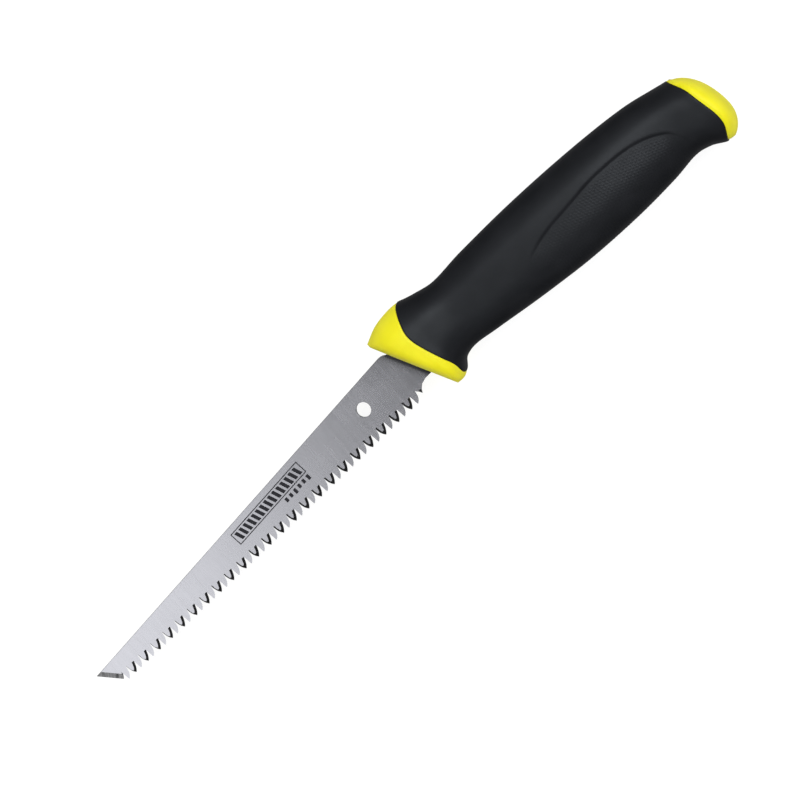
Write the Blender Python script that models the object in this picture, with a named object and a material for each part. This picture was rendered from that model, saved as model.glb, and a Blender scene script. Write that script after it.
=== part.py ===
"""Drywall (jab) saw: a fixed blade, 150 mm long in front of a straight two-colour handle.

The saw lies flat on its side. +X runs towards the blade's tip, +Y towards the teeth and +Z up,
at right angles to the blade. The outlines below are in millimetres in the blade's own frame,
whose z = 0 is the blade's middle plane. The last step puts the whole saw on the floor with
the middle of its box over the origin.
"""

import math

import bmesh
import bpy
from mathutils import Vector

MM = 0.001
GAP = 0.3  # clearance between pieces that touch

# Blade
BLADE_HALF = 0.65  # half the sheet's thickness
SPINE_HEEL = (10.5, -7.4)
SPINE_TIP = (158.8, 6.7)
HEEL_CORNER = 3.0  # radius of the spine's rounded corner at the bolster
TIP_EDGE = (152.0, 13.5)  # where the slanted plunge edge meets the last gullet
HEEL_CORNER_START = 228.0  # degrees; where that corner comes out of the bolster
NOTCH = [(1.0, 7.3), (3.6, 7.4), (5.6, 8.0), (6.8, 9.0), (7.6, 10.3)]  # hollow up to a last, partial tooth
TEETH = 47
TOOTH_PITCH = 3.03
FIRST_TIP = (10.8, 11.9)
TIP_LINE_RISE = 0.0205  # the tooth line climbs this much for each mm towards the tip
TIP_LINE_CROWN = 0.3
TOOTH = [(-1.7, -3.5), (-1.45, -1.3), (0.0, 0.0), (0.6, -1.6), (0.95, -3.5)]  # one tooth, from its point
HANG_HOLE = (25.6, 1.5)
HANG_RADIUS = 2.5

# Tang
TANG_SHOULDER = -6.0  # x where the blade has narrowed to the tang
TANG_END = -92.0
TANG_FRONT_HALF = 6.5
TANG_REAR_HALF = 4.5
TANG_REAR_Y = -0.5
TANG_CORNER = 3.0
POCKET_FRONT = 24.0  # the tang's pocket is cut out past the nose to this x
POCKET_FLARE = 2.0  # and is this much wider there on each side
POCKET_FLARE_X = (4.0, 0.6)  # where that starts, on the spine's side and on the teeth's side

# Rivets
RIVETS = {"tang_rivet_front": (-26.0, -1.2), "tang_rivet_rear": (-74.0, -0.4)}
RIVET_SHANK = 2.0
RIVET_HEAD = 3.8
RIVET_HEAD_HIGH = 1.6
RIVET_EDGE = 0.3  # chamfer round a head
RIVET_SINK = 0.6  # a head stays this far under the core's surface
ROUND_STEPS = 24
BLADE_CUT = 3.0  # half the height of a cutter that goes through the blade
CORE_CUT = 20.0  # and of one that goes through the core

# Handle outline, as y on the spine's side and on the teeth's side at each x
SPINE_SIDE = [(14.0, -11.3), (10.0, -13.1), (4.6, -15.4), (-1.0, -16.4), (-6.0, -16.4), (-12.0, -14.9),
              (-19.5, -13.5), (-32.0, -14.4), (-55.0, -15.0), (-80.0, -14.4), (-100.0, -12.8),
              (-112.0, -10.4), (-116.0, -9.5), (-126.0, -9.5)]
TEETH_SIDE = [(14.0, 13.4), (-3.6, 14.9), (-6.0, 15.4), (-8.0, 14.5), (-11.0, 11.5), (-16.0, 10.3),
              (-24.0, 11.1), (-43.0, 13.3), (-62.0, 14.8), (-82.0, 15.0), (-97.0, 14.2), (-108.0, 13.2),
              (-112.5, 14.1), (-117.0, 16.3), (-126.0, 16.5)]
HALF_THICK = [(14.0, 12.0), (-4.0, 12.4), (-10.0, 11.4), (-20.0, 10.0), (-36.0, 10.9), (-60.0, 12.2),
              (-78.0, 12.5), (-98.0, 11.7), (-108.0, 11.6), (-118.0, 12.5), (-126.0, 12.5)]
SECTION_POWER = 2.3  # 2 is an ellipse; higher is squarer
FLAT_FROM = 0.985  # share of the half thickness above which each side is cut flat, to lie on

# Seams across the handle, as x at each y
FRONT_SEAM = [(-17.0, -6.6), (-11.0, -5.1), (-6.5, -4.3), (-3.0, -4.7), (1.0, -5.9), (6.0, -7.6),
              (10.5, -8.7), (15.5, -7.6)]
REAR_SEAM = [(-9.8, -115.3), (-4.0, -118.4), (1.5, -119.6), (8.0, -120.7), (12.0, -120.2), (16.2, -117.5)]
NOSE_MIDDLE_X = 4.3  # the bolster's front edge at y = 0
NOSE_SLANT = -0.5  # its change of x for each mm of y
BUTT_MIDDLE = (-124.7, 8.0)  # rearmost point of the butt
BUTT_SPINE_RUN = (-114.0, 17.5)  # where its curve starts on the spine's side, and how wide it is there
BUTT_TEETH_RUN = (-117.4, 9.0)
NOSE_STRIP = 0.5  # half the width left at the nose's and the butt's closing line
NOSE_POWER = 4.5  # a nearly flat side with a rounded edge
NOSE_LEAN = 0.25  # the bolster's front wall is raked back
BUTT_POWER = 2.4  # a rounder end

# Wall of the grip, and the tenon that carries the butt cap
SLEEVE_WALL = 2.6
TENON_END_X = -122.0
TENON_ROOT_X = -118.0
TENON_Y = (-2.0, 9.0)
TENON_HALF = 5.5
TENON_POWER = 0.6  # exponent of cosine and sine; lower is squarer

# Mesh fineness
RING = 44
RING_SETTLING = 12  # rounds of finding x and y of a point on a curved section
BODY_STEPS = 30
INNER_STEPS = 16
NOSE_STEPS = 9

MATERIALS = {
    "blade_steel": ((0.62, 0.63, 0.65), 0.35, 1.0),
    "rivet_steel": ((0.55, 0.56, 0.58), 0.40, 1.0),
    "yellow_plastic": ((0.84, 0.80, 0.02), 0.38, 0.0),
    "black_rubber": ((0.022, 0.023, 0.026), 0.62, 0.0),
}


# ---------------------------------------------------------------- curves

def smooth(points, at):
    """Cubic curve through (position, value) points, which may run either way."""
    rows = sorted(points)
    at = min(max(at, rows[0][0]), rows[-1][0])
    last = len(rows) - 1
    i = 0
    while i < last - 1 and at > rows[i + 1][0]:
        i += 1

    def slope(k):
        a, b = rows[max(k - 1, 0)], rows[min(k + 1, last)]
        return (b[1] - a[1]) / (b[0] - a[0])

    (x0, y0), (x1, y1) = rows[i], rows[i + 1]
    run = x1 - x0
    t = (at - x0) / run
    start = (2 * t**3 - 3 * t**2 + 1) * y0 + (t**3 - 2 * t**2 + t) * run * slope(i)
    end = (3 * t**2 - 2 * t**3) * y1 + (t**3 - t**2) * run * slope(i + 1)
    return start + end


def rounded(w, power):
    """Height of a superellipse of unit half-axes at w, which falls to 0 at w = 1."""
    return max(1.0 - min(abs(w), 1.0) ** power, 0.0) ** (1.0 / power)


def signed_power(value, power):
    return math.copysign(abs(value) ** power, value)


def arc(centre, radius, start, end, steps):
    """Points on an arc, angles in degrees."""
    angles = [math.radians(start + (end - start) * k / steps) for k in range(steps + 1)]
    return [(centre[0] + radius * math.cos(a), centre[1] + radius * math.sin(a)) for a in angles]


def flattened(rise):
    """The height on a unit section with its top and bottom cut flat and stretched back to 1."""
    return math.copysign(min(abs(rise) / FLAT_FROM, 1.0), rise)


# ---------------------------------------------------------------- handle surface

def nose_edge(y):
    """The bolster's slanted front edge."""
    return NOSE_MIDDLE_X + NOSE_SLANT * y


def butt_edge(y):
    """The butt's rounded rear edge: a quarter ellipse on each side of its rearmost point."""
    start, reach = BUTT_SPINE_RUN if y < BUTT_MIDDLE[1] else BUTT_TEETH_RUN
    return start + (BUTT_MIDDLE[0] - start) * rounded((y - BUTT_MIDDLE[1]) / reach, 2.0)


def front_seam(y):
    return smooth(FRONT_SEAM, y)


def rear_seam(y):
    return smooth(REAR_SEAM, y)


def ring(cross_line, inset=0.0, closing=1.0, lean=0.0):
    """One closed section of the handle.

    cross_line gives x at each y, so that a section can follow a curved seam. inset moves the
    surface inwards, closing scales the thickness down towards a nose or a butt, and lean moves
    the section back by that much for each mm of height.
    """
    points = []
    for k in range(RING):
        angle = 2.0 * math.pi * k / RING
        across = signed_power(math.cos(angle), 2.0 / SECTION_POWER)
        rise = flattened(signed_power(math.sin(angle), 2.0 / SECTION_POWER))
        y = 0.0
        for _ in range(RING_SETTLING):
            x = cross_line(y)
            low = smooth(SPINE_SIDE, x) + inset
            high = smooth(TEETH_SIDE, x) - inset
            y = 0.5 * (low + high) + 0.5 * (high - low) * across
        half = max((smooth(HALF_THICK, x) - inset) * closing, NOSE_STRIP)
        points.append(Vector((x - lean * half * abs(rise), y, half * rise)))
    return points


def between(line_a, line_b, part):
    return lambda y: line_a(y) + part * (line_b(y) - line_a(y))


def shifted(line, distance):
    return lambda y: line(y) + distance


def body_rings(rear, front, steps, inset):
    return [ring(between(rear, front, k / steps), inset) for k in range(steps + 1)]


def closing_rings(seam, edge, power, lean=0.0):
    """Rings from a seam to the closing line, with the thickness rounding off to a narrow strip."""
    rings = []
    for k in range(NOSE_STEPS + 1):
        part = math.sin(0.5 * math.pi * k / NOSE_STEPS)
        rings.append(ring(between(seam, edge, part), 0.0, rounded(part, power), lean * part))
    return rings


def tenon_ring(x, extra):
    """A flat-sided oval at one x, for the tenon and, with extra clearance, for its socket."""
    low, high = TENON_Y[0] - extra, TENON_Y[1] + extra
    points = []
    for k in range(RING):
        angle = 2.0 * math.pi * k / RING
        y = 0.5 * (low + high) + 0.5 * (high - low) * signed_power(math.cos(angle), TENON_POWER)
        z = (TENON_HALF + extra) * signed_power(math.sin(angle), TENON_POWER)
        points.append(Vector((x, y, z)))
    return points


# ---------------------------------------------------------------- meshes

def clear_scene():
    for obj in list(bpy.data.objects):
        bpy.data.objects.remove(obj, do_unlink=True)


def material(name):
    found = bpy.data.materials.get(name)
    if found:
        return found
    colour, roughness, metallic = MATERIALS[name]
    made = bpy.data.materials.new(name)
    made.use_nodes = True
    shader = made.node_tree.nodes["Principled BSDF"]
    shader.inputs["Base Color"].default_value = (*colour, 1.0)
    shader.inputs["Roughness"].default_value = roughness
    shader.inputs["Metallic"].default_value = metallic
    return made


def finish_object(name, bm, slot, parent, smooth_angle=35.0):
    """Turns a bmesh in millimetres into a named object in metres."""
    bmesh.ops.recalc_face_normals(bm, faces=bm.faces)
    bmesh.ops.scale(bm, vec=(MM, MM, MM), verts=bm.verts)
    mesh = bpy.data.meshes.new(name)
    bm.to_mesh(mesh)
    bm.free()
    mesh.shade_smooth()
    mesh.set_sharp_from_angle(angle=math.radians(smooth_angle))
    mesh.materials.append(material(slot))
    obj = bpy.data.objects.new(name, mesh)
    bpy.context.scene.collection.objects.link(obj)
    obj.parent = parent
    return obj


def skin(rings, joined=False):
    """A closed mesh over a row of rings. The end rings are filled, or joined to each other."""
    bm = bmesh.new()
    loops = [[bm.verts.new(p) for p in points] for points in rings]
    pairs = list(zip(loops, loops[1:]))
    if joined:
        pairs.append((loops[-1], loops[0]))
    for a, b in pairs:
        for k in range(RING):
            n = (k + 1) % RING
            bm.faces.new((a[k], a[n], b[n], b[k]))
    if not joined:
        fill_across(bm, loops[0])
        fill_across(bm, loops[-1])
    return bm


def fill_across(bm, loop):
    """Fills a ring with a ladder of faces between its upper and its lower half."""
    half = RING // 2
    bm.faces.new((loop[0], loop[1], loop[RING - 1]))
    for k in range(1, half - 1):
        bm.faces.new((loop[k], loop[k + 1], loop[RING - k - 1], loop[RING - k]))
    bm.faces.new((loop[half - 1], loop[half], loop[half + 1]))


def extrude_outline(outline, low, high):
    """A closed slab from an outline in x and y."""
    bm = bmesh.new()
    bottom = [bm.verts.new((x, y, low)) for x, y in outline]
    top = [bm.verts.new((x, y, high)) for x, y in outline]
    bm.faces.new(bottom)
    bm.faces.new(top)
    for k in range(len(outline)):
        n = (k + 1) % len(outline)
        bm.faces.new((bottom[k], bottom[n], top[n], top[k]))
    return bm


def turned(profile, centre, steps=ROUND_STEPS):
    """A solid turned about an upright axis at centre, from (radius, z) points on its outside."""
    bm = bmesh.new()
    loops = []
    for radius, z in profile:
        loops.append([bm.verts.new((x, y, z)) for x, y in arc(centre, radius, 0, 360, steps)[:-1]])
    bm.faces.new(loops[0])
    bm.faces.new(loops[-1])
    for a, b in zip(loops, loops[1:]):
        for k in range(steps):
            n = (k + 1) % steps
            bm.faces.new((a[k], a[n], b[n], b[k]))
    return bm


def cut(obj, cutters):
    """Subtracts each cutter in turn."""
    for cutter in cutters:
        cutter.hide_render = True
        cutter.display_type = "WIRE"
        modifier = obj.modifiers.new("cut_" + cutter.name, "BOOLEAN")
        modifier.operation = "DIFFERENCE"
        modifier.solver = "EXACT"
        modifier.object = cutter


# ---------------------------------------------------------------- blade

def tip_line(x):
    """y of the tooth points: a rising line, very slightly crowned."""
    run = (TEETH - 1) * TOOTH_PITCH
    part = (x - FIRST_TIP[0]) / run
    return FIRST_TIP[1] + TIP_LINE_RISE * (x - FIRST_TIP[0]) + 4.0 * TIP_LINE_CROWN * part * (1.0 - part)


def tooth_outline():
    """Points of the teeth from the heel to the tip. Each leans and has a slanted top."""
    points = []
    for k in range(TEETH):
        x = FIRST_TIP[0] + k * TOOTH_PITCH
        y = tip_line(x)
        points += [(x + across, y + up) for across, up in TOOTH]
    return points


def tang_outline(extra=0.0):
    """The tang from its spine corner round its rear end to its teeth corner."""
    radius = TANG_CORNER
    rear_x = TANG_END - extra
    low = TANG_REAR_Y - TANG_REAR_HALF - extra
    high = TANG_REAR_Y + TANG_REAR_HALF + extra
    points = arc((rear_x + radius, low + radius), radius, 270, 180, 6)
    points += arc((rear_x + radius, high - radius), radius, 180, 90, 6)
    return points


def blade_outline():
    """The whole sheet: spine, plunge edge, teeth, notch, then the tang, turning one way."""
    slope = math.atan2(SPINE_TIP[1] - SPINE_HEEL[1], SPINE_TIP[0] - SPINE_HEEL[0])
    corner = (SPINE_HEEL[0] - HEEL_CORNER * math.sin(slope), SPINE_HEEL[1] + HEEL_CORNER * math.cos(slope))
    points = [(TANG_SHOULDER, -TANG_FRONT_HALF), (SPINE_HEEL[0] - HEEL_CORNER, -TANG_FRONT_HALF)]
    points += arc(corner, HEEL_CORNER, HEEL_CORNER_START, 270 + math.degrees(slope), 5)
    points += [SPINE_TIP, TIP_EDGE]
    points += list(reversed(tooth_outline()))
    points += list(reversed(NOTCH))
    points += [(TANG_SHOULDER, TANG_FRONT_HALF)]
    points += list(reversed(tang_outline()))
    return points


def slot_outline():
    """The pocket for the tang, a gap wider all round, which runs out through the nose."""
    half = TANG_FRONT_HALF + GAP
    low = -half - POCKET_FLARE
    points = [(POCKET_FRONT, low), (POCKET_FRONT, NOTCH[0][1] + POCKET_FLARE)]
    points += [(POCKET_FLARE_X[1], NOTCH[0][1] + GAP), (TANG_SHOULDER, half)]
    points += list(reversed(tang_outline(GAP)))
    points += [(TANG_SHOULDER, -half), (POCKET_FLARE_X[0], low)]
    return points


def hidden(name, bm, parent):
    obj = finish_object(name, bm, "rivet_steel", parent)
    obj.hide_render = True
    obj.display_type = "WIRE"
    return obj


def round_cutter(name, centre, radius, low, high, parent):
    return hidden(name, turned([(radius, low), (radius, high)], centre), parent)


def make_blade(parent):
    blade = finish_object("saw_blade", extrude_outline(blade_outline(), -BLADE_HALF, BLADE_HALF),
                          "blade_steel", parent)
    holes = [round_cutter("cut_hang_hole", HANG_HOLE, HANG_RADIUS, -BLADE_CUT, BLADE_CUT, parent)]
    for name, centre in RIVETS.items():
        radius = RIVET_SHANK + GAP
        holes.append(round_cutter("cut_tang_" + name, centre, radius, -BLADE_CUT, BLADE_CUT, parent))
    cut(blade, holes)


# ---------------------------------------------------------------- handle pieces

def core_solid():
    """Tenon, waist under the grip, and the bolster in front of it, as one closed skin."""
    rings = [tenon_ring(TENON_END_X, 0.0), tenon_ring(TENON_ROOT_X, 0.0)]
    rings += body_rings(shifted(rear_seam, GAP), front_seam, INNER_STEPS, SLEEVE_WALL)
    rings += closing_rings(front_seam, nose_edge, NOSE_POWER, NOSE_LEAN)
    return skin(rings)


def head_top(x):
    """z of a rivet head's outer face, just under the core's surface."""
    return smooth(HALF_THICK, x) - SLEEVE_WALL - RIVET_SINK


def make_core_half(name, side, parent):
    """One half of the core. side is 1 above the blade's plane and -1 below it."""
    bm = core_solid()
    seam = Vector((0.0, 0.0, side * 0.5 * GAP))
    everything = bm.verts[:] + bm.edges[:] + bm.faces[:]
    bisected = bmesh.ops.bisect_plane(bm, geom=everything, plane_co=seam, plane_no=(0.0, 0.0, -side),
                                      clear_outer=True)
    edges = [e for e in bisected["geom_cut"] if isinstance(e, bmesh.types.BMEdge)]
    bmesh.ops.holes_fill(bm, edges=edges, sides=0)
    half = finish_object(name, bm, "yellow_plastic", parent)
    pocket = extrude_outline(slot_outline(), -BLADE_HALF - GAP, BLADE_HALF + GAP)
    cutters = [hidden("cut_pocket_" + name, pocket, parent)]
    for rivet, centre in RIVETS.items():
        floor = head_top(centre[0]) - RIVET_HEAD_HIGH - GAP
        hole = f"cut_hole_{rivet}_{name}"
        cutters.append(round_cutter(hole, centre, RIVET_SHANK + GAP, -CORE_CUT, CORE_CUT, parent))
        low, high = sorted((side * floor, side * CORE_CUT))
        seat = f"cut_seat_{rivet}_{name}"
        cutters.append(round_cutter(seat, centre, RIVET_HEAD + GAP, low, high, parent))
    cut(half, cutters)


def make_rivet(name, centre, parent):
    """A solid rivet through the core and the tang, with a flat head on each side."""
    top = head_top(centre[0])
    under = top - RIVET_HEAD_HIGH
    profile = [(RIVET_HEAD - RIVET_EDGE, -top), (RIVET_HEAD, -top + RIVET_EDGE), (RIVET_HEAD, -under),
               (RIVET_SHANK, -under), (RIVET_SHANK, under), (RIVET_HEAD, under),
               (RIVET_HEAD, top - RIVET_EDGE), (RIVET_HEAD - RIVET_EDGE, top)]
    finish_object(name, turned(profile, centre), "rivet_steel", parent)


def make_sleeve(parent):
    """The soft grip: an open tube between the two seams."""
    rear = shifted(rear_seam, GAP)
    front = shifted(front_seam, -GAP)
    outer = body_rings(rear, front, BODY_STEPS, 0.0)
    inner = body_rings(rear, front, INNER_STEPS, SLEEVE_WALL - GAP)
    finish_object("grip_sleeve", skin(outer + list(reversed(inner)), joined=True), "black_rubber", parent)


def make_cap(parent):
    """The butt cap, closed at the rear, with a socket for the core's tenon."""
    rings = [tenon_ring(TENON_END_X - GAP, GAP), tenon_ring(TENON_ROOT_X - GAP, GAP)]
    rings.append(ring(rear_seam, SLEEVE_WALL))
    rings += closing_rings(rear_seam, butt_edge, BUTT_POWER)
    finish_object("butt_cap", skin(rings), "yellow_plastic", parent)


# ---------------------------------------------------------------- assembly

def stand_on_floor(frame):
    """Moves the whole saw so that its box is centred on the origin and rests on z = 0."""
    bpy.context.view_layer.update()
    shown = [obj for obj in bpy.data.objects if obj.type == "MESH" and not obj.hide_render]
    corners = [obj.matrix_world @ v.co for obj in shown for v in obj.data.vertices]
    low = [min(c[i] for c in corners) for i in range(3)]
    high = [max(c[i] for c in corners) for i in range(3)]
    frame.location = (-0.5 * (low[0] + high[0]), -0.5 * (low[1] + high[1]), -low[2])


def build():
    clear_scene()
    frame = bpy.data.objects.new("saw_frame", None)
    bpy.context.scene.collection.objects.link(frame)
    make_blade(frame)
    make_core_half("core_left", 1, frame)
    make_core_half("core_right", -1, frame)
    for name, centre in RIVETS.items():
        make_rivet(name, centre, frame)
    make_sleeve(frame)
    make_cap(frame)
    stand_on_floor(frame)


build()
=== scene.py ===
"""Looks of the drywall jab saw: finely meshed blade, bolster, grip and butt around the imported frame.

Shapes are worked out in millimetres in the saw's own frame, as its CAD source does: +X towards the
blade's tip, +Y towards the teeth, +Z up, with z = 0 in the blade's middle plane. place() then puts
a mesh into the row frame, in metres, by the front rivet, whose place both frames know.
"""

import math

import bmesh
import bpy
import numpy as np
from mathutils import Matrix, Vector


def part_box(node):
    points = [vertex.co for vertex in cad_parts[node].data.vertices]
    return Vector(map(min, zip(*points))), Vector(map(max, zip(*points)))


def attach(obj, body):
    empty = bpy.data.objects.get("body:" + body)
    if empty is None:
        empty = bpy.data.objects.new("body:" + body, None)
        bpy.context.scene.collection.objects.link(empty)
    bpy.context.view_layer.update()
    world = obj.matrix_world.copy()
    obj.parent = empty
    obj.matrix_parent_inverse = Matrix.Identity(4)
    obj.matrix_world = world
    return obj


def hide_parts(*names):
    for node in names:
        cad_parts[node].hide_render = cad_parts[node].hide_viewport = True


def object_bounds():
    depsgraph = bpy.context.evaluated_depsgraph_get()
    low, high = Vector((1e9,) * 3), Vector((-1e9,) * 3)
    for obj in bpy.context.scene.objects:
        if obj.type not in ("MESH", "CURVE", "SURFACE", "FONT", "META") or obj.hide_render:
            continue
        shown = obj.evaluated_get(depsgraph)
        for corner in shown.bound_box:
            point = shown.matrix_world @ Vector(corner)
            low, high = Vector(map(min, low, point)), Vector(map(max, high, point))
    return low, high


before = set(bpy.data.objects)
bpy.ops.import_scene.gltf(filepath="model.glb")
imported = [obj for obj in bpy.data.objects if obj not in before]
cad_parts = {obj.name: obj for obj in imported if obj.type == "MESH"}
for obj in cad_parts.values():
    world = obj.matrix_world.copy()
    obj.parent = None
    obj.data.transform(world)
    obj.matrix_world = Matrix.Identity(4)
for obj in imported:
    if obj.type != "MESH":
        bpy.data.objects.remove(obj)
cad_low, cad_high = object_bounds()

MM = 0.001
NOISE_LOW, NOISE_HIGH = 0.3, 0.7  # a noise value mostly lies between these

# ---------------------------------------------------------------- driving dimensions, mm

# Blade
BLADE_HALF = 0.65
SPINE_HEEL = (10.5, -7.4)
SPINE_TIP = (158.8, 6.7)
HEEL_CORNER = 3.0
HEEL_CORNER_START = 228.0
TIP_EDGE = (152.0, 13.5)
TEETH = 47
TOOTH_PITCH = 3.03
FIRST_TIP = (10.8, 11.9)
TIP_LINE_RISE = 0.0205
TIP_LINE_CROWN = 0.3
HANG_HOLE = (25.6, 1.5)
HANG_RADIUS = 2.5
EDGE_WORN = 0.12  # width of the softened edge along the spine
EDGE_DROP = 0.03  # and its depth
HOLE_WORN = 0.05  # the same round the hang hole
HOLE_DROP = 0.03
PLUNGE_BEVEL = 1.9  # width of the ground strip along the plunge edge, on both sides
PLUNGE_EDGE = 0.12  # half the thickness left at that edge
PLUNGE_GRIND = math.radians(45.0)  # how far its grinding lines are turned from the blade's length

# Teeth, from their points: each gullet is ground through the sheet at a slant, alternately to one
# side and to the other. So every second tooth has its two ground flanks on top and its point in the
# lower face, and the teeth between them are the other way up.
UPPER_BACK = [(-2.03, -3.50), (-1.90, -3.05), (-1.36, -1.75), (-0.92, -1.00), (-0.38, -0.32)]
UPPER_FRONT = [(0.22, -0.28), (0.64, -0.84), (1.04, -1.65), (1.32, -2.70), (1.47, -3.85)]
LOWER_BACK = [(-2.02, -3.85), (-1.93, -2.90), (-1.62, -1.77), (-1.10, -0.90), (-0.48, -0.30)]
LOWER_FRONT = [(0.12, -0.42), (0.20, -0.90), (0.26, -1.75), (0.42, -2.80), (0.53, -3.50)]
UPPER_SLANT = (0.56, 1.05)  # how far the back and the front flank lean in over the sheet's thickness
LOWER_SLANT = (1.05, 0.56)
FLANKS_MEET = 1.45  # above the point, where the two leaning flanks meet in the other face
SLANT_EASES_FROM = 0.45  # share of the row from the handle, past which the flanks lean less and less
SLANT_LEFT = 0.72  # share of the lean that the last tooth keeps
NOTCH = [(5.6, 8.0), (3.6, 7.4), (1.0, 7.3)]  # hollow between the last tooth and the bolster
PART_TOOTH = [(6.8, 9.0), (7.6, 10.3), (8.25, 9.2), (8.75, 8.3)]  # the row's last, partial tooth
PART_TOOTH_SLANT = 0.75
PART_TOOTH_LEAN = 0.1  # of its point, towards the blade's tip

# Tang
TANG_SHOULDER = -6.0
TANG_END = -92.0
TANG_FRONT_HALF = 6.5
TANG_REAR_HALF = 4.5
TANG_REAR_Y = -0.5
TANG_CORNER = 3.0
RIVETS = {"tang_rivet_front": (-26.0, -1.2), "tang_rivet_rear": (-74.0, -0.4)}
RIVET_HOLE = 2.3
RIVET_SEAT = 4.1
RIVET_HEAD_HIGH = 1.6
RIVET_SINK = 0.6

# Handle outline
SPINE_SIDE = [(14.0, -11.3), (10.0, -13.1), (4.6, -15.4), (-1.0, -16.4), (-6.0, -16.4), (-12.0, -14.9),
              (-19.5, -13.5), (-32.0, -14.4), (-55.0, -15.0), (-80.0, -14.4), (-100.0, -12.8),
              (-112.0, -10.4), (-116.0, -9.5), (-126.0, -9.5)]
TEETH_SIDE = [(14.0, 14.6), (-3.6, 15.5), (-6.0, 15.5), (-8.0, 14.5), (-11.0, 11.5), (-16.0, 10.3),
              (-24.0, 11.1), (-43.0, 13.3), (-62.0, 14.8), (-82.0, 15.0), (-97.0, 14.2), (-108.0, 13.2),
              (-112.5, 14.1), (-117.0, 16.3), (-126.0, 16.5)]
HALF_THICK = [(14.0, 12.0), (-4.0, 12.4), (-10.0, 11.4), (-20.0, 10.0), (-36.0, 10.9), (-60.0, 12.2),
              (-78.0, 12.5), (-98.0, 11.7), (-108.0, 11.6), (-118.0, 12.5), (-126.0, 12.5)]
SECTION_POWER = 2.3
FLAT_FROM = 0.985
FLAT_CRISPNESS = 40.0  # how suddenly the flat strip along each side starts
FRONT_SEAM = [(-17.0, -6.6), (-11.0, -5.1), (-6.5, -4.3), (-3.0, -4.7), (1.0, -5.9), (6.0, -7.6),
              (10.5, -8.7), (15.5, -7.6)]
REAR_SEAM = [(-9.8, -115.3), (-4.0, -118.4), (1.5, -119.6), (8.0, -120.7), (12.0, -120.2),
             (16.2, -117.5)]
NOSE_MIDDLE_X = 4.3
NOSE_SLANT = -0.5
NOSE_TURN = (11.3, 13.4)  # -y over which the nose's edge turns back at its spine side,
NOSE_BACK = 0.7  # and how far
BUTT_MIDDLE = (-124.7, 8.0)
BUTT_SPINE_RUN = (-114.0, 17.5)
BUTT_TEETH_RUN = (-117.4, 9.0)
NOSE_STRIP = 0.5
NOSE_POWER = 4.5
NOSE_LEAN = 0.25
BUTT_POWER = 2.4
SLEEVE_WALL = 2.6
TENON_END_X = -122.0
TENON_ROOT_X = -118.0
TENON_Y = (-2.0, 9.0)
TENON_HALF = 5.5
TENON_POWER = 0.6

# Fits and edges that only the close look shows
FIT = 0.06  # gap between pieces that touch
PARTING = 0.07  # half the gap between the core's halves
LIP_RADIUS = 0.45  # rounding of the grip's two ends
LIP_PROUD = 0.16  # the grip stands this far over the yellow at its ends
LIP_REACH = 2.6  # over this length
SEAM_SINK = 0.14  # and the yellow dips this far at the seam
SEAM_REACH = 0.7
SEAM_RINGS = (0.0, 0.05, 0.14, 0.28, 0.46, SEAM_REACH)  # where the mesh follows that dip
LIP_RINGS = (0.0, 0.02, 0.06, 0.13, 0.23, 0.36, 0.52, 0.75, 1.05, 1.45, 2.0)  # and the grip's lip
CORE_REAR_GAP = 0.3  # the core's rear end stands off the cap by this much

# The grip's finger panel: an arched groove on each side, with fine dots below it
GROOVE = [(-48.0, 3.2), (-50.2, 1.9), (-58.7, -0.7), (-70.7, -2.2), (-81.7, -3.3), (-96.1, -2.3),
          (-105.6, 1.7), (-109.0, 6.8), (-109.8, 9.6)]
GROOVE_DEPTH = 0.13
GROOVE_HALF = 0.38
GROOVE_FADE = 0.11  # share of its length over which it fades, at each end
PANEL_DEPTH = 0.50  # just below the groove; it runs out towards the fingers
PANEL_RUNOUT = 7.5
PANEL_FRONT = (-60.0, -47.0)  # x over which the panel fades out at its front
PANEL_REAR = (-111.5, -104.0)
PANEL_STARTS = (-0.2, 0.5)  # distance from the groove over which the hollow begins
DOTS_START = (0.9, 1.9)  # and the dots
DOT_PITCH = 1.05
DOT_HIGH = 0.075
DOT_RADIUS = 0.5

# Generic mark on the blade: a framed row of slanted bars, and a short row of ticks under it
MARK_START = 54.6  # along the spine, from the saw's x = 0
MARK_END = 88.6
MARK_OFF_SPINE = 2.15
MARK_HIGH = 4.75
MARK_LINE = 0.32
MARK_BARS = 15
MARK_BAR_SHARE = 0.60  # of the pitch that is ink
MARK_BAR_HIGH = 3.2
MARK_SLANT = 0.9
TICKS = 6
TICK_PITCH = 2.15
TICK_WIDE = 1.1
TICK_HIGH = (1.9, 1.5)  # every third one is taller
TICK_START = 0.4  # along the spine from the mark's start
TICK_BELOW = 0.7  # between the frame and the ticks
INK_GAP = 0.001  # the print's underside over the steel
INK_THICK = 0.02  # and its top

# Painted shadow in the corner between the blade and the bolster, darkening the steel's colour: (mm from
# it, share of the light kept)
PAINTED_SHADOW_REACH = 14.0
PAINTED_SHADOW_STEPS = [(0.0, 0.10), (0.7, 0.16), (1.5, 0.5), (3.2, 0.77), (7.0, 0.88), (14.0, 1.0)]

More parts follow.
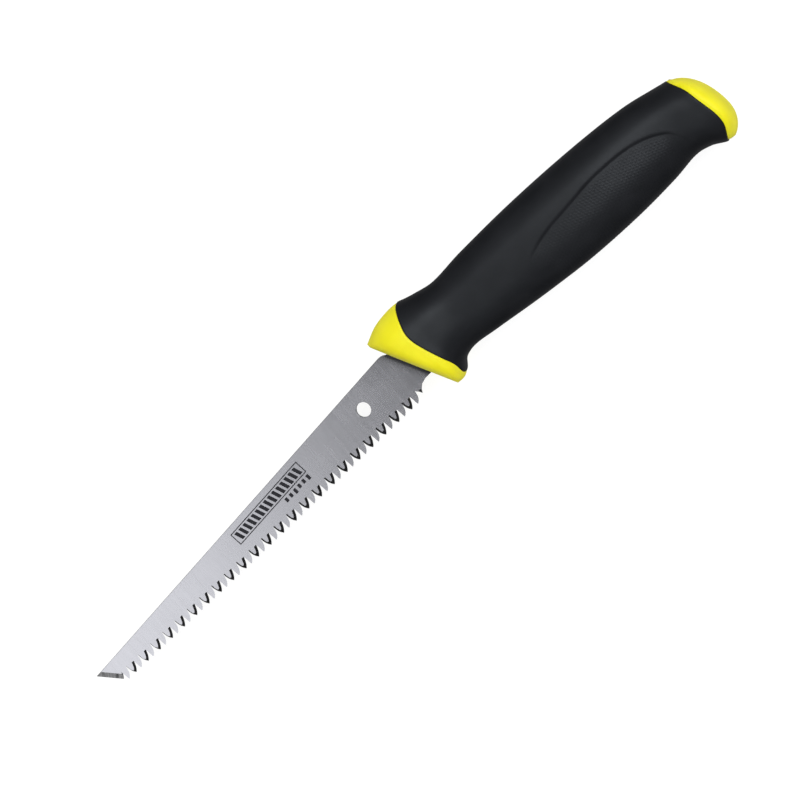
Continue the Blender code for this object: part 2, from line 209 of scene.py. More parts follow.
# Mesh fineness
RING_SETTLING = 12
AROUND = 176
DENSE_AROUND = 720
NOSE_STEPS = 26
CORE_STEPS = 36
INNER_STEPS = 14
DOT_CELLS = 4  # mesh cells across one dot pitch
SHARP = 30.0  # degrees between two faces from which their edge is sharp
BLADE_SHARP = 12.0
GRIP_SHARP = 50.0
ROUND_STEPS = 64
RIVET_STEPS = 32
HEEL_STEPS = 12
TANG_STEPS = 8
GROOVE_POINTS = 160
FINE_AROUND = 112  # points of a half section that stand close together, and the share they take
FINE_SHARE = 0.66
WIDE_AROUND = 22  # points on the rest of it
GRIP_MIDDLE_Y = 4.0  # the grip's length is measured here
DOTTED_MARGIN = 0.5  # the evenly spaced rings reach this far past the panel
REST_RINGS = (8, 50)  # ring places between the dotted stretch and the grip's rear and front lip
FAR = 1e9  # further than anything here, mm
BEYOND_CORE = 20.0  # a cutter that ends here runs right out of the core, mm

# The pocket's mouth, which opens through the nose: clearances from the notch and the heel
MOUTH_FRONT = 30.0
MOUTH_HEEL = [(7.2, -TANG_FRONT_HALF - FIT), (9.0, -10.5), (MOUTH_FRONT, -10.5)]
MOUTH_NOTCH = [(MOUTH_FRONT, 4.0), (5.4, 0.7), (3.4, 0.0), (1.0, -0.05)]  # x, and y past the notch's


# ---------------------------------------------------------------- small maths

def smooth(points, at):
    """Cubic curve through (position, value) points, at an array of positions."""
    spots, values = np.array(sorted(points)).T
    at = np.clip(at, spots[0], spots[-1])
    i = np.clip(np.searchsorted(spots, at) - 1, 0, len(spots) - 2)
    before = np.maximum(np.arange(len(spots)) - 1, 0)
    after = np.minimum(np.arange(len(spots)) + 1, len(spots) - 1)
    slopes = (values[after] - values[before]) / (spots[after] - spots[before])
    run = spots[i + 1] - spots[i]
    t = (at - spots[i]) / run
    start = (2 * t**3 - 3 * t**2 + 1) * values[i] + (t**3 - 2 * t**2 + t) * run * slopes[i]
    end = (3 * t**2 - 2 * t**3) * values[i + 1] + (t**3 - t**2) * run * slopes[i + 1]
    return start + end


def step(value, start, end):
    """0 before start, 1 after end, and smooth between them."""
    t = np.clip((value - start) / (end - start), 0.0, 1.0)
    return t * t * (3.0 - 2.0 * t)


def rounded(w, power):
    """Height of a superellipse of unit half-axes at w, which falls to 0 at w = 1."""
    return np.maximum(1.0 - np.minimum(np.abs(w), 1.0) ** power, 0.0) ** (1.0 / power)


def signed_power(value, power):
    """A power that keeps the value's sign."""
    return np.sign(value) * np.abs(value) ** power


def flattened(rise):
    """The height on a unit section whose top and bottom turn softly into a flat strip."""
    def capped(height):
        return height * (1.0 + (height / FLAT_FROM) ** FLAT_CRISPNESS) ** (-1.0 / FLAT_CRISPNESS)

    return np.sign(rise) * capped(np.abs(rise)) / capped(1.0)


def arc(centre, radius, start, end, steps):
    """Points on an arc, angles in degrees."""
    angles = [math.radians(start + (end - start) * k / steps) for k in range(steps + 1)]
    return [(centre[0] + radius * math.cos(a), centre[1] + radius * math.sin(a)) for a in angles]


# ---------------------------------------------------------------- handle surface

def nose_edge(y):
    """The nose's slanted front edge."""
    return NOSE_MIDDLE_X + NOSE_SLANT * y - NOSE_BACK * step(-y, *NOSE_TURN)


def butt_edge(y):
    """The butt's rounded rear edge: a quarter ellipse on each side of its rearmost point."""
    spine_side = y < BUTT_MIDDLE[1]
    start = np.where(spine_side, BUTT_SPINE_RUN[0], BUTT_TEETH_RUN[0])
    reach = np.where(spine_side, BUTT_SPINE_RUN[1], BUTT_TEETH_RUN[1])
    return start + (BUTT_MIDDLE[0] - start) * rounded((y - BUTT_MIDDLE[1]) / reach, 2.0)


def front_seam(y):
    return smooth(FRONT_SEAM, y)


def rear_seam(y):
    return smooth(REAR_SEAM, y)


def between(line_a, line_b, part):
    """The line at this part of the way from one to the other. Lines give x at each y."""
    return lambda y: line_a(y) + part * (line_b(y) - line_a(y))


def shifted(line, distance):
    return lambda y: line(y) + distance


def section(cross_line, angles, inset=0.0, closing=1.0, lean=0.0):
    """One closed section of the handle, on a line that gives x at each y."""
    across = signed_power(np.cos(angles), 2.0 / SECTION_POWER)
    rise = flattened(signed_power(np.sin(angles), 2.0 / SECTION_POWER))
    y = np.zeros_like(angles)
    for _ in range(RING_SETTLING):
        x = cross_line(y)
        low = smooth(SPINE_SIDE, x) + inset
        high = smooth(TEETH_SIDE, x) - inset
        y = 0.5 * (low + high) + 0.5 * (high - low) * across
    half = np.maximum((smooth(HALF_THICK, x) - inset) * closing, NOSE_STRIP)
    return np.column_stack((x - lean * half * np.abs(rise), y, half * rise))


def even_section(cross_line, shares, **options):
    """A section whose upper half has points at these shares of its length, from the teeth's side."""
    dense = np.linspace(0.0, math.pi, DENSE_AROUND)
    points = section(cross_line, dense, **options)
    lengths = np.concatenate(([0.0], np.cumsum(np.linalg.norm(np.diff(points, axis=0), axis=1))))
    angles = np.interp(np.asarray(shares) * lengths[-1], lengths, dense)
    upper = section(cross_line, angles, **options)
    lower = upper[-2:0:-1] * (1.0, 1.0, -1.0)
    return np.vstack((upper, lower))


def even_shares(count=AROUND):
    """Evenly spaced shares of a half section."""
    return np.linspace(0.0, 1.0, count // 2 + 1)


def oval(x, extra, count=AROUND):
    """A flat-sided oval at one x, for the tenon and, with extra clearance, for its socket."""
    low, high = TENON_Y[0] - extra, TENON_Y[1] + extra
    angles = np.linspace(0.0, 2.0 * math.pi, count, endpoint=False)
    y = 0.5 * (low + high) + 0.5 * (high - low) * signed_power(np.cos(angles), TENON_POWER)
    z = (TENON_HALF + extra) * signed_power(np.sin(angles), TENON_POWER)
    return np.column_stack((np.full(count, x), y, z))


def seam_rings(seam, edge, power, lean=0.0):
    """Yellow rings from a seam to a closing line, dipping a little where they meet the grip."""
    way = math.copysign(1.0, float(edge(np.array([0.0]))[0] - seam(np.array([0.0]))[0]))
    rings = []
    for distance in SEAM_RINGS:
        sink = SEAM_SINK * float(1.0 - step(distance, 0.0, SEAM_REACH))
        rings.append(even_section(shifted(seam, way * distance), even_shares(), inset=sink))
    start = shifted(seam, way * SEAM_REACH)
    for k in range(1, NOSE_STEPS + 1):
        part = math.sin(0.5 * math.pi * k / NOSE_STEPS)
        closing = float(rounded(part, power))
        line = between(start, edge, part)
        rings.append(even_section(line, even_shares(), closing=closing, lean=lean * part))
    return rings


# ---------------------------------------------------------------- meshes

RIVET_FRONT = RIVETS["tang_rivet_front"]
rivet_low, rivet_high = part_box("tang_rivet_front")
ORIGIN = 0.5 * (rivet_low + rivet_high) - Vector((RIVET_FRONT[0], RIVET_FRONT[1], 0.0)) * MM


def to_row(point):
    """A point in the saw's frame, in millimetres, as a point in the row frame, in metres."""
    return ORIGIN + Vector(point) * MM


def link(name, mesh, material):
    """Puts a mesh into the scene as an object."""
    obj = bpy.data.objects.new(name, mesh)
    obj.data.materials.append(material)
    bpy.context.scene.collection.objects.link(obj)
    return obj


def place(name, bm, material, sharp_angle=SHARP):
    """Turns a bmesh in millimetres into a named piece in the row frame."""
    bmesh.ops.recalc_face_normals(bm, faces=bm.faces)
    bmesh.ops.transform(bm, matrix=Matrix.Translation(ORIGIN) @ Matrix.Scale(MM, 4), verts=bm.verts)
    mesh = bpy.data.meshes.new(name)
    bm.to_mesh(mesh)
    bm.free()
    mesh.shade_smooth()
    mesh.set_sharp_from_angle(angle=math.radians(sharp_angle))
    return link(name, mesh, material)


def skin(rings, joined=False):
    """A closed mesh over a row of rings. The end rings are filled, or joined to each other."""
    bm = bmesh.new()
    count = len(rings[0])
    loops = [[bm.verts.new(p) for p in points] for points in rings]
    pairs = list(zip(loops, loops[1:]))
    if joined:
        pairs.append((loops[-1], loops[0]))
    for a, b in pairs:
        for k in range(count):
            n = (k + 1) % count
            bm.faces.new((a[k], a[n], b[n], b[k]))
    if not joined:
        fill_across(bm, loops[0])
        fill_across(bm, loops[-1])
    return bm


def fill_across(bm, loop):
    """Fills a ring with a ladder of faces between its upper and its lower half."""
    count = len(loop)
    half = count // 2
    bm.faces.new((loop[0], loop[1], loop[count - 1]))
    for k in range(1, half - 1):
        bm.faces.new((loop[k], loop[k + 1], loop[count - k - 1], loop[count - k]))
    bm.faces.new((loop[half - 1], loop[half], loop[half + 1]))


def prism(bm, outline, low, high):
    """Adds a closed slab from an outline in x and y."""
    bottom = [bm.verts.new((x, y, low)) for x, y in outline]
    top = [bm.verts.new((x, y, high)) for x, y in outline]
    bm.faces.new(bottom)
    bm.faces.new(top)
    for k in range(len(outline)):
        n = (k + 1) % len(outline)
        bm.faces.new((bottom[k], bottom[n], top[n], top[k]))


def cut_away(obj, outline, low, high):
    """Subtracts a slab from a piece and keeps the result as its mesh."""
    bm = bmesh.new()
    prism(bm, outline, low, high)
    cutter = place("cutter", bm, obj.data.materials[0])
    modifier = obj.modifiers.new("cut", "BOOLEAN")
    modifier.operation = "DIFFERENCE"
    modifier.solver = "EXACT"
    modifier.object = cutter
    bpy.context.view_layer.update()
    result = bpy.data.meshes.new_from_object(obj.evaluated_get(bpy.context.evaluated_depsgraph_get()))
    obj.modifiers.clear()
    obj.data = result
    bpy.data.objects.remove(cutter, do_unlink=True)


# ---------------------------------------------------------------- materials

def new_material(name, colour, roughness, metallic=0.0):
    made = bpy.data.materials.new(name)
    made.use_nodes = True
    shader = made.node_tree.nodes["Principled BSDF"]
    shader.inputs["Base Color"].default_value = (*colour, 1.0)
    shader.inputs["Roughness"].default_value = roughness
    shader.inputs["Metallic"].default_value = metallic
    return made, made.node_tree, shader


def object_noise(tree, stretch, detail=3.0, roughness=0.5, turn=0.0):
    """Noise in the object's own coordinates, turned about z.

    stretch is its features per metre along its own x, y and z.
    """
    coordinates = tree.nodes.new("ShaderNodeTexCoord")
    mapping = tree.nodes.new("ShaderNodeMapping")
    mapping.vector_type = "TEXTURE"
    mapping.inputs["Scale"].default_value = [1.0 / features for features in stretch]
    mapping.inputs["Rotation"].default_value = (0.0, 0.0, turn)
    texture = tree.nodes.new("ShaderNodeTexNoise")
    texture.inputs["Scale"].default_value = 1.0
    texture.inputs["Detail"].default_value = detail
    texture.inputs["Roughness"].default_value = roughness
    tree.links.new(coordinates.outputs["Object"], mapping.inputs["Vector"])
    tree.links.new(mapping.outputs["Vector"], texture.inputs["Vector"])
    return texture.outputs["Fac"]


def ranged(tree, value, low, high, floor=NOISE_LOW, ceiling=NOISE_HIGH):
    """Maps floor to low and ceiling to high."""
    node = tree.nodes.new("ShaderNodeMapRange")
    node.inputs["From Min"].default_value = floor
    node.inputs["From Max"].default_value = ceiling
    node.inputs["To Min"].default_value = low
    node.inputs["To Max"].default_value = high
    tree.links.new(value, node.inputs["Value"])
    return node.outputs["Result"]


def blended_colour(tree, value, first, second):
    """A colour that runs from first to second as a noise value rises."""
    node = tree.nodes.new("ShaderNodeValToRGB")
    node.color_ramp.elements[0].position = NOISE_LOW
    node.color_ramp.elements[0].color = (*first, 1.0)
    node.color_ramp.elements[1].position = NOISE_HIGH
    node.color_ramp.elements[1].color = (*second, 1.0)
    tree.links.new(value, node.inputs["Fac"])
    return node.outputs["Color"]


def bumped(tree, shader, layers):
    """Chains bump nodes for (height value, strength, distance in metres) layers."""
    normal = None
    for height, strength, distance in layers:
        node = tree.nodes.new("ShaderNodeBump")
        node.inputs["Strength"].default_value = strength
        node.inputs["Distance"].default_value = distance
        tree.links.new(height, node.inputs["Height"])
        if normal:
            tree.links.new(normal, node.inputs["Normal"])
        normal = node.outputs["Normal"]
    tree.links.new(normal, shader.inputs["Normal"])


def greys_on_ramp(ramp, steps):
    """Fills a colour ramp from (position, grey) steps."""
    for position, _ in steps[1:-1]:
        ramp.elements.new(position)
    for element, (position, grey) in zip(ramp.elements, steps):
        element.position = position
        element.color = (grey, grey, grey, 1.0)


def painted_bolster_shadow(tree):
    """Painted shadow: 0 in the corner where the blade comes out of the bolster, rising to 1 over a few
    millimetres.
    """
    corner = to_row((NOSE_MIDDLE_X, 0.0, 0.0))
    coordinates = tree.nodes.new("ShaderNodeTexCoord")
    across = tree.nodes.new("ShaderNodeVectorMath")
    across.operation = "DOT_PRODUCT"
    across.inputs[1].default_value = (1.0, -NOSE_SLANT, 0.0)
    tree.links.new(coordinates.outputs["Object"], across.inputs[0])
    node = tree.nodes.new("ShaderNodeValToRGB")
    steps = [(distance / PAINTED_SHADOW_REACH, shade) for distance, shade in PAINTED_SHADOW_STEPS]
    greys_on_ramp(node.color_ramp, steps)
    start = corner.x - NOSE_SLANT * corner.y
    scaled = ranged(tree, across.outputs["Value"], 0.0, 1.0, start, start + PAINTED_SHADOW_REACH * MM)
    tree.links.new(scaled, node.inputs["Fac"])
    return node.outputs["Color"]


def dimmed(tree, colour, shade):
    """A colour multiplied by a shade."""
    node = tree.nodes.new("ShaderNodeMix")
    node.data_type = "RGBA"
    node.blend_type = "MULTIPLY"
    node.inputs[0].default_value = 1.0
    tree.links.new(colour, node.inputs[6])
    tree.links.new(shade, node.inputs[7])
    return node.outputs[2]


def blade_steel():
    """Bright sheet steel, ground across its width, with faint stains from handling and a painted shadow
    where it leaves the bolster.
    """
    made, tree, shader = new_material("steel_cross_ground", (0.45, 0.452, 0.468), 0.30, 1.0)
    streaks = object_noise(tree, (5200.0, 95.0, 600.0), detail=4.0, roughness=0.62)
    coarse = object_noise(tree, (900.0, 60.0, 300.0), detail=2.0)
    stains = object_noise(tree, (70.0, 110.0, 90.0), detail=2.0)
    steel = blended_colour(tree, streaks, (0.444, 0.447, 0.480), (0.462, 0.465, 0.500))
    # The base colour is darkened by a painted shadow in the corner by the bolster.
    tree.links.new(dimmed(tree, steel, painted_bolster_shadow(tree)), shader.inputs["Base Color"])
    spread = tree.nodes.new("ShaderNodeMath")
    spread.operation = "ADD"
    tree.links.new(ranged(tree, coarse, 0.25, 0.275), spread.inputs[0])
    tree.links.new(ranged(tree, stains, -0.01, 0.02, 0.2, 0.8), spread.inputs[1])
    tree.links.new(spread.outputs["Value"], shader.inputs["Roughness"])
    bumped(tree, shader, [(streaks, 0.04, 0.00002), (coarse, 0.01, 0.00003)])
    return made


def dark_painted_facet_steel():
    """The teeth's ground facets, with their grinding lines. They mirror the dark room, and their steel
    is also painted darker than the sheet as painted shade.
    """
    made, tree, shader = new_material("steel_facet_painted_dark", (0.20, 0.20, 0.21), 0.34, 1.0)
    lines = object_noise(tree, (2600.0, 5200.0, 900.0), detail=3.0)
    # The facets' darker colour is painted shade, not a different steel.
    tree.links.new(blended_colour(tree, lines, (0.15, 0.15, 0.155), (0.27, 0.27, 0.28)),
                   shader.inputs["Base Color"])
    tree.links.new(ranged(tree, lines, 0.28, 0.42), shader.inputs["Roughness"])
    bumped(tree, shader, [(lines, 0.25, 0.00002)])
    return made


def plunge_steel():
    """The plunge edge's ground strip, with its grinding lines running to the edge."""
    made, tree, shader = new_material("steel_plunge_edge", (0.35, 0.35, 0.36), 0.34, 1.0)
    lines = object_noise(tree, (150.0, 1400.0, 150.0), detail=3.0, turn=PLUNGE_GRIND)
    tree.links.new(blended_colour(tree, lines, (0.14, 0.14, 0.145), (0.50, 0.50, 0.51)),
                   shader.inputs["Base Color"])
    tree.links.new(ranged(tree, lines, 0.30, 0.44), shader.inputs["Roughness"])
    bumped(tree, shader, [(lines, 0.4, 0.00006)])
    return made


def rivet_steel():
    """Plain turned steel, a little dull."""
    made, tree, shader = new_material("steel_turned", (0.52, 0.53, 0.55), 0.42, 1.0)
    grain = object_noise(tree, (1500.0, 1500.0, 1500.0), detail=4.0)
    tree.links.new(blended_colour(tree, grain, (0.46, 0.47, 0.49), (0.57, 0.58, 0.60)),
                   shader.inputs["Base Color"])
    tree.links.new(ranged(tree, grain, 0.34, 0.50), shader.inputs["Roughness"])
    bumped(tree, shader, [(grain, 0.15, 0.00002)])
    return made


def yellow_plastic():
    """Lemon yellow moulded plastic with a fine satin surface."""
    made, tree, shader = new_material("plastic_lemon_yellow", (0.86, 0.795, 0.01), 0.45)
    cloud = object_noise(tree, (160.0, 160.0, 160.0), detail=2.0)
    satin = object_noise(tree, (4200.0, 4200.0, 4200.0), detail=3.0)
    tree.links.new(blended_colour(tree, cloud, (0.785, 0.722, 0.006), (0.845, 0.782, 0.012)),
                   shader.inputs["Base Color"])
    tree.links.new(ranged(tree, satin, 0.42, 0.56), shader.inputs["Roughness"])
    shader.inputs["Specular IOR Level"].default_value = 0.27
    shader.inputs["Subsurface Weight"].default_value = 0.06
    shader.inputs["Subsurface Scale"].default_value = 0.002
    bumped(tree, shader, [(satin, 0.18, 0.00003)])
    return made


def black_rubber():
    """Soft black grip: almost no gloss, a fine moulded grain and a slight bloom."""
    made, tree, shader = new_material("rubber_soft_black", (0.007, 0.0072, 0.0084), 0.52)
    grain = object_noise(tree, (3000.0, 3000.0, 3000.0), detail=4.0, roughness=0.6)
    bloom = object_noise(tree, (110.0, 150.0, 150.0), detail=3.0)
    tree.links.new(blended_colour(tree, bloom, (0.0068, 0.0073, 0.0088), (0.0100, 0.0106, 0.0126)),
                   shader.inputs["Base Color"])
    tree.links.new(ranged(tree, grain, 0.40, 0.50), shader.inputs["Roughness"])
    shader.inputs["Specular IOR Level"].default_value = 0.23
    shader.inputs["Specular Tint"].default_value = (0.88, 0.94, 1.0, 1.0)
    bumped(tree, shader, [(grain, 0.30, 0.00004)])
    return made


def mark_ink():
    """Thin dark print, slightly uneven."""
    made, tree, shader = new_material("ink_dark", (0.022, 0.022, 0.028), 0.55)
    patches = object_noise(tree, (1800.0, 1800.0, 1800.0), detail=4.0)
    tree.links.new(blended_colour(tree, patches, (0.007, 0.007, 0.010), (0.022, 0.022, 0.028)),
                   shader.inputs["Base Color"])
    tree.links.new(ranged(tree, patches, 0.45, 0.65), shader.inputs["Roughness"])
    shader.inputs["Specular IOR Level"].default_value = 0.2
    bumped(tree, shader, [(patches, 0.1, 0.00001)])
    return made


STEEL = blade_steel()
FACET_PAINTED_DARK = dark_painted_facet_steel()
PLUNGE = plunge_steel()
TURNED = rivet_steel()
YELLOW = yellow_plastic()
RUBBER = black_rubber()
INK = mark_ink()


# ---------------------------------------------------------------- blade

def tip_line(x):
    """y of the tooth points: a rising line, very slightly crowned."""
    run = (TEETH - 1) * TOOTH_PITCH
    part = (x - FIRST_TIP[0]) / run
    crown = 4.0 * TIP_LINE_CROWN * part * (1.0 - part)
    return FIRST_TIP[1] + TIP_LINE_RISE * (x - FIRST_TIP[0]) + crown


def spine_line(x):
    """y of the spine."""
    part = (x - SPINE_HEEL[0]) / (SPINE_TIP[0] - SPINE_HEEL[0])
    return SPINE_HEEL[1] + part * (SPINE_TIP[1] - SPINE_HEEL[1])


def rim_point(outer, top=None, bottom=None, top_drop=0.0, bottom_drop=0.0):
    """One point of the blade's rim.

    top and bottom are the points on the two flat faces that it runs up to, where they differ from
    outer, and the drops say how far under those faces the rim's own corners lie.
    """
    return {"outer": outer, "top": top or outer, "bottom": bottom or outer,
            "top_z": BLADE_HALF - top_drop, "bottom_z": bottom_drop - BLADE_HALF}


def ground_point(wide, narrow, on_top):
    """A point of a slanted flank, which runs through the whole sheet."""
    if on_top:
        return rim_point(wide, top=narrow, top_drop=2.0 * BLADE_HALF)
    return rim_point(wide, bottom=narrow, bottom_drop=2.0 * BLADE_HALF)


def slant_kept(share):
    """The share of their lean that the flanks keep, at this share of the tooth row."""
    return 1.0 - (1.0 - SLANT_LEFT) * float(step(share, SLANT_EASES_FROM, 1.0))


def tooth_rim(k, on_top):
    """One tooth. Its ground flanks face up where on_top is true, and down elsewhere."""
    tip = tooth_tip(k)
    kept = slant_kept(k / (TEETH - 1))
    if on_top:
        back, front, slant = UPPER_BACK, UPPER_FRONT, UPPER_SLANT
    else:
        back, front, slant = LOWER_BACK, LOWER_FRONT, LOWER_SLANT
    slant = (kept * slant[0], kept * slant[1])
    meet = kept * FLANKS_MEET
    ends = (back[2][0] + slant[0], front[2][0] - slant[1])
    meeting = (tip[0] + 0.5 * (ends[0] + ends[1]), tip[1] - meet)

    def ground(offset, lean):
        wide = (tip[0] + offset[0], tip[1] + offset[1])
        narrow = (wide[0] + lean, wide[1]) if offset[1] < -meet else meeting
        return ground_point(wide, narrow, on_top)

    return ([ground(offset, slant[0]) for offset in back] + [ground((0.0, 0.0), 0.0)]
            + [ground(offset, -slant[1]) for offset in front])


def part_tooth_rim():
    """The small part tooth where the row runs into the notch, ground at its point only."""
    root, point, side, gullet = PART_TOOTH
    below_point = (point[0] + PART_TOOTH_LEAN, point[1] - 2.0 * PART_TOOTH_SLANT)
    below_side = (side[0] - PART_TOOTH_SLANT, side[1])
    return [rim_point(root), ground_point(point, below_point, True),
            ground_point(side, below_side, True), rim_point(gullet)]


def inset_corner(before, at, after, first, second):
    """Where the edges on both sides of a corner meet, once moved inwards by first and second."""
    a, b, c = Vector(before), Vector(at), Vector(after)
    way_in, way_out = (b - a).normalized(), (c - b).normalized()
    side_in, side_out = Vector((-way_in.y, way_in.x)), Vector((-way_out.y, way_out.x))
    start, finish = b + side_in * first, b + side_out * second
    turn = way_in.x * way_out.y - way_in.y * way_out.x
    if abs(turn) < 1e-6:
        return tuple(start)
    gap = finish - start
    along = (gap.x * way_out.y - gap.y * way_out.x) / turn
    return tuple(start + way_in * along)


def spine_rim():
    """Heel corner, spine and plunge edge, with their chamfers."""
    slope = math.atan2(SPINE_TIP[1] - SPINE_HEEL[1], SPINE_TIP[0] - SPINE_HEEL[0])
    centre = (SPINE_HEEL[0] - HEEL_CORNER * math.sin(slope),
              SPINE_HEEL[1] + HEEL_CORNER * math.cos(slope))
    corner = arc(centre, HEEL_CORNER, HEEL_CORNER_START, 270 + math.degrees(slope), HEEL_STEPS)
    points = corner + [SPINE_TIP]
    start = (SPINE_HEEL[0] - HEEL_CORNER, -TANG_FRONT_HALF)
    rim = [rim_point((TANG_SHOULDER, -TANG_FRONT_HALF)), rim_point(start)]
    for k, point in enumerate(points[:-1]):
        before = points[k - 1] if k else start
        inner = inset_corner(before, point, points[k + 1], EDGE_WORN, EDGE_WORN)
        rim.append(rim_point(point, inner, inner, EDGE_DROP, EDGE_DROP))
    last = tooth_tip(TEETH - 1)
    gullet = (last[0] + LOWER_FRONT[-1][0], last[1] + LOWER_FRONT[-1][1])
    drop = BLADE_HALF - PLUNGE_EDGE
    inner = inset_corner(points[-2], SPINE_TIP, TIP_EDGE, EDGE_WORN, PLUNGE_BEVEL)
    rim.append(rim_point(SPINE_TIP, inner, inner, drop, drop))
    inner = inset_corner(SPINE_TIP, TIP_EDGE, gullet, PLUNGE_BEVEL, 0.0)
    rim.append(rim_point(TIP_EDGE, inner, inner, drop, drop))
    rim.append(rim_point(inner))
    return rim


def tooth_tip(k):
    """The point of tooth k, counted from the handle."""
    x = FIRST_TIP[0] + k * TOOTH_PITCH
    return (x, tip_line(x))


def blade_rim():
    """The whole rim, turning one way: spine, plunge edge, teeth, notch and tang."""
    rim = spine_rim()
    for k in reversed(range(TEETH)):
        rim += reversed(tooth_rim(k, on_top=k % 2 == 1))
    rim += reversed(part_tooth_rim())
    rim += [rim_point(point) for point in NOTCH]
    rim.append(rim_point((TANG_SHOULDER, TANG_FRONT_HALF)))
    high = TANG_REAR_Y + TANG_REAR_HALF
    low = TANG_REAR_Y - TANG_REAR_HALF
    end = TANG_END + TANG_CORNER
    rim += [rim_point(p) for p in arc((end, high - TANG_CORNER), TANG_CORNER, 90, 180, TANG_STEPS)]
    rim += [rim_point(p) for p in arc((end, low + TANG_CORNER), TANG_CORNER, 180, 270, TANG_STEPS)]
    return rim


def round_rim(centre, radius, worn, drop):
    """The rim of a hole, whose edge may be softened."""
    outer = arc(centre, radius, 0, 360, ROUND_STEPS)[:-1]
    wide = arc(centre, radius + worn, 0, 360, ROUND_STEPS)[:-1]
    return [rim_point(p, w, w, drop, drop) for p, w in zip(outer, wide)]


SHEET, TOOTH_FACET, PLUNGE_STRIP = range(3)  # the blade's materials, in their order


def make_blade():
    """The sheet: two flat faces, the rims between them, and the ground facets in a steel painted darker
    as painted shade.
    """
    bm = bmesh.new()
    known = {}

    def corner(point, z):
        key = (round(point[0], 4), round(point[1], 4), round(z, 4))
        if key not in known:
            known[key] = bm.verts.new((point[0], point[1], z))
        return known[key]

    def face(corners, finish=SHEET):
        unique = list(dict.fromkeys(corners))
        if len(unique) > 2:
            made = bm.faces.new(unique)
            made.material_index = finish

    rims = [blade_rim(), round_rim(HANG_HOLE, HANG_RADIUS, HOLE_WORN, HOLE_DROP)]
    rims += [round_rim(centre, RIVET_HOLE, 0.0, 0.0) for centre in RIVETS.values()]
    faces = {"top": [], "bottom": []}
    for rim in rims:
        for a, b in zip(rim, rim[1:] + rim[:1]):
            face((corner(a["outer"], a["bottom_z"]), corner(b["outer"], b["bottom_z"]),
                  corner(b["outer"], b["top_z"]), corner(a["outer"], a["top_z"])))
            for side, z in (("top", BLADE_HALF), ("bottom", -BLADE_HALF)):
                flat = (corner(b[side], z), corner(a[side], z))
                lips = (corner(a["outer"], a[side + "_z"]), corner(b["outer"], b[side + "_z"]))
                drop = max(abs(z - p[side + "_z"]) for p in (a, b))
                if drop < 2.0 * EDGE_DROP:
                    finish = SHEET
                elif drop < BLADE_HALF:
                    finish = PLUNGE_STRIP
                else:
                    finish = TOOTH_FACET
                face((*lips, *flat), finish)
                if flat[0] is not flat[1]:
                    faces[side].append(flat)
    for side in faces:
        edges = [bm.edges.get(pair) or bm.edges.new(pair) for pair in faces[side]]
        bmesh.ops.triangle_fill(bm, edges=edges, use_beauty=True, use_dissolve=False)
    blade = place("blade_sheet", bm, STEEL, sharp_angle=BLADE_SHARP)
    blade.data.materials.append(FACET_PAINTED_DARK)
    blade.data.materials.append(PLUNGE)
    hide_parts("saw_blade")
    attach(blade, "root")


# ---------------------------------------------------------------- mark

def make_mark():
    """A framed band of slanted bars and a row of ticks, printed on the blade's upper face."""
    slope = math.atan2(SPINE_TIP[1] - SPINE_HEEL[1], SPINE_TIP[0] - SPINE_HEEL[0])
    start = (MARK_START, spine_line(MARK_START))
    length = (MARK_END - MARK_START) / math.cos(slope)

    def on_blade(along, down):
        """A point this far along the spine from the mark's start, and this far below the spine."""
        return (start[0] + along * math.cos(slope) - down * math.sin(slope),
                start[1] + along * math.sin(slope) + down * math.cos(slope))

    def box(left, top, right, bottom, slant=0.0):
        corners = ((left + slant, top), (right + slant, top), (right, bottom), (left, bottom))
        return [on_blade(*corner) for corner in corners]

    top, bottom, line = MARK_OFF_SPINE, MARK_OFF_SPINE + MARK_HIGH, MARK_LINE
    low, high = BLADE_HALF + INK_GAP, BLADE_HALF + INK_THICK
    outer = box(0.0, top, length, bottom)
    inner = box(line, top + line, length - line, bottom - line)
    rings = ((outer, low), (outer, high), (inner, high), (inner, low))
    bm = skin([[(x, y, z) for x, y in outline] for outline, z in rings], joined=True)

    def bar(*sides):
        prism(bm, box(*sides), low, high)

    middle = 0.5 * (top + bottom)
    room = length - 4.0 * line - MARK_SLANT
    pitch = room / MARK_BARS
    for k in range(MARK_BARS):
        left = 2.0 * line + (k + 0.5 * (1.0 - MARK_BAR_SHARE)) * pitch
        bar(left, middle - 0.5 * MARK_BAR_HIGH, left + MARK_BAR_SHARE * pitch,
            middle + 0.5 * MARK_BAR_HIGH, MARK_SLANT)
    for k in range(TICKS):
        left = TICK_START + k * TICK_PITCH
        tall = TICK_HIGH[0] if k % 3 == 0 else TICK_HIGH[1]
        bar(left, bottom + TICK_BELOW, left + TICK_WIDE, bottom + TICK_BELOW + tall)
    mark = place("blade_mark", bm, INK)
    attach(mark, "root")


# ---------------------------------------------------------------- handle pieces

def pocket_outline():
    """The pocket for the tang, which runs out through the nose."""
    half = TANG_FRONT_HALF + FIT
    low = TANG_REAR_Y - TANG_REAR_HALF - FIT
    high = TANG_REAR_Y + TANG_REAR_HALF + FIT
    end = TANG_END - FIT
    notch = NOTCH[-1][1] + FIT
    front = [MOUTH_HEEL[-1]] + [(x, notch + past) for x, past in MOUTH_NOTCH]
    tang = [(TANG_SHOULDER, half), (end, high), (end, low), (TANG_SHOULDER, -half)]
    return front + tang + MOUTH_HEEL[:-1]


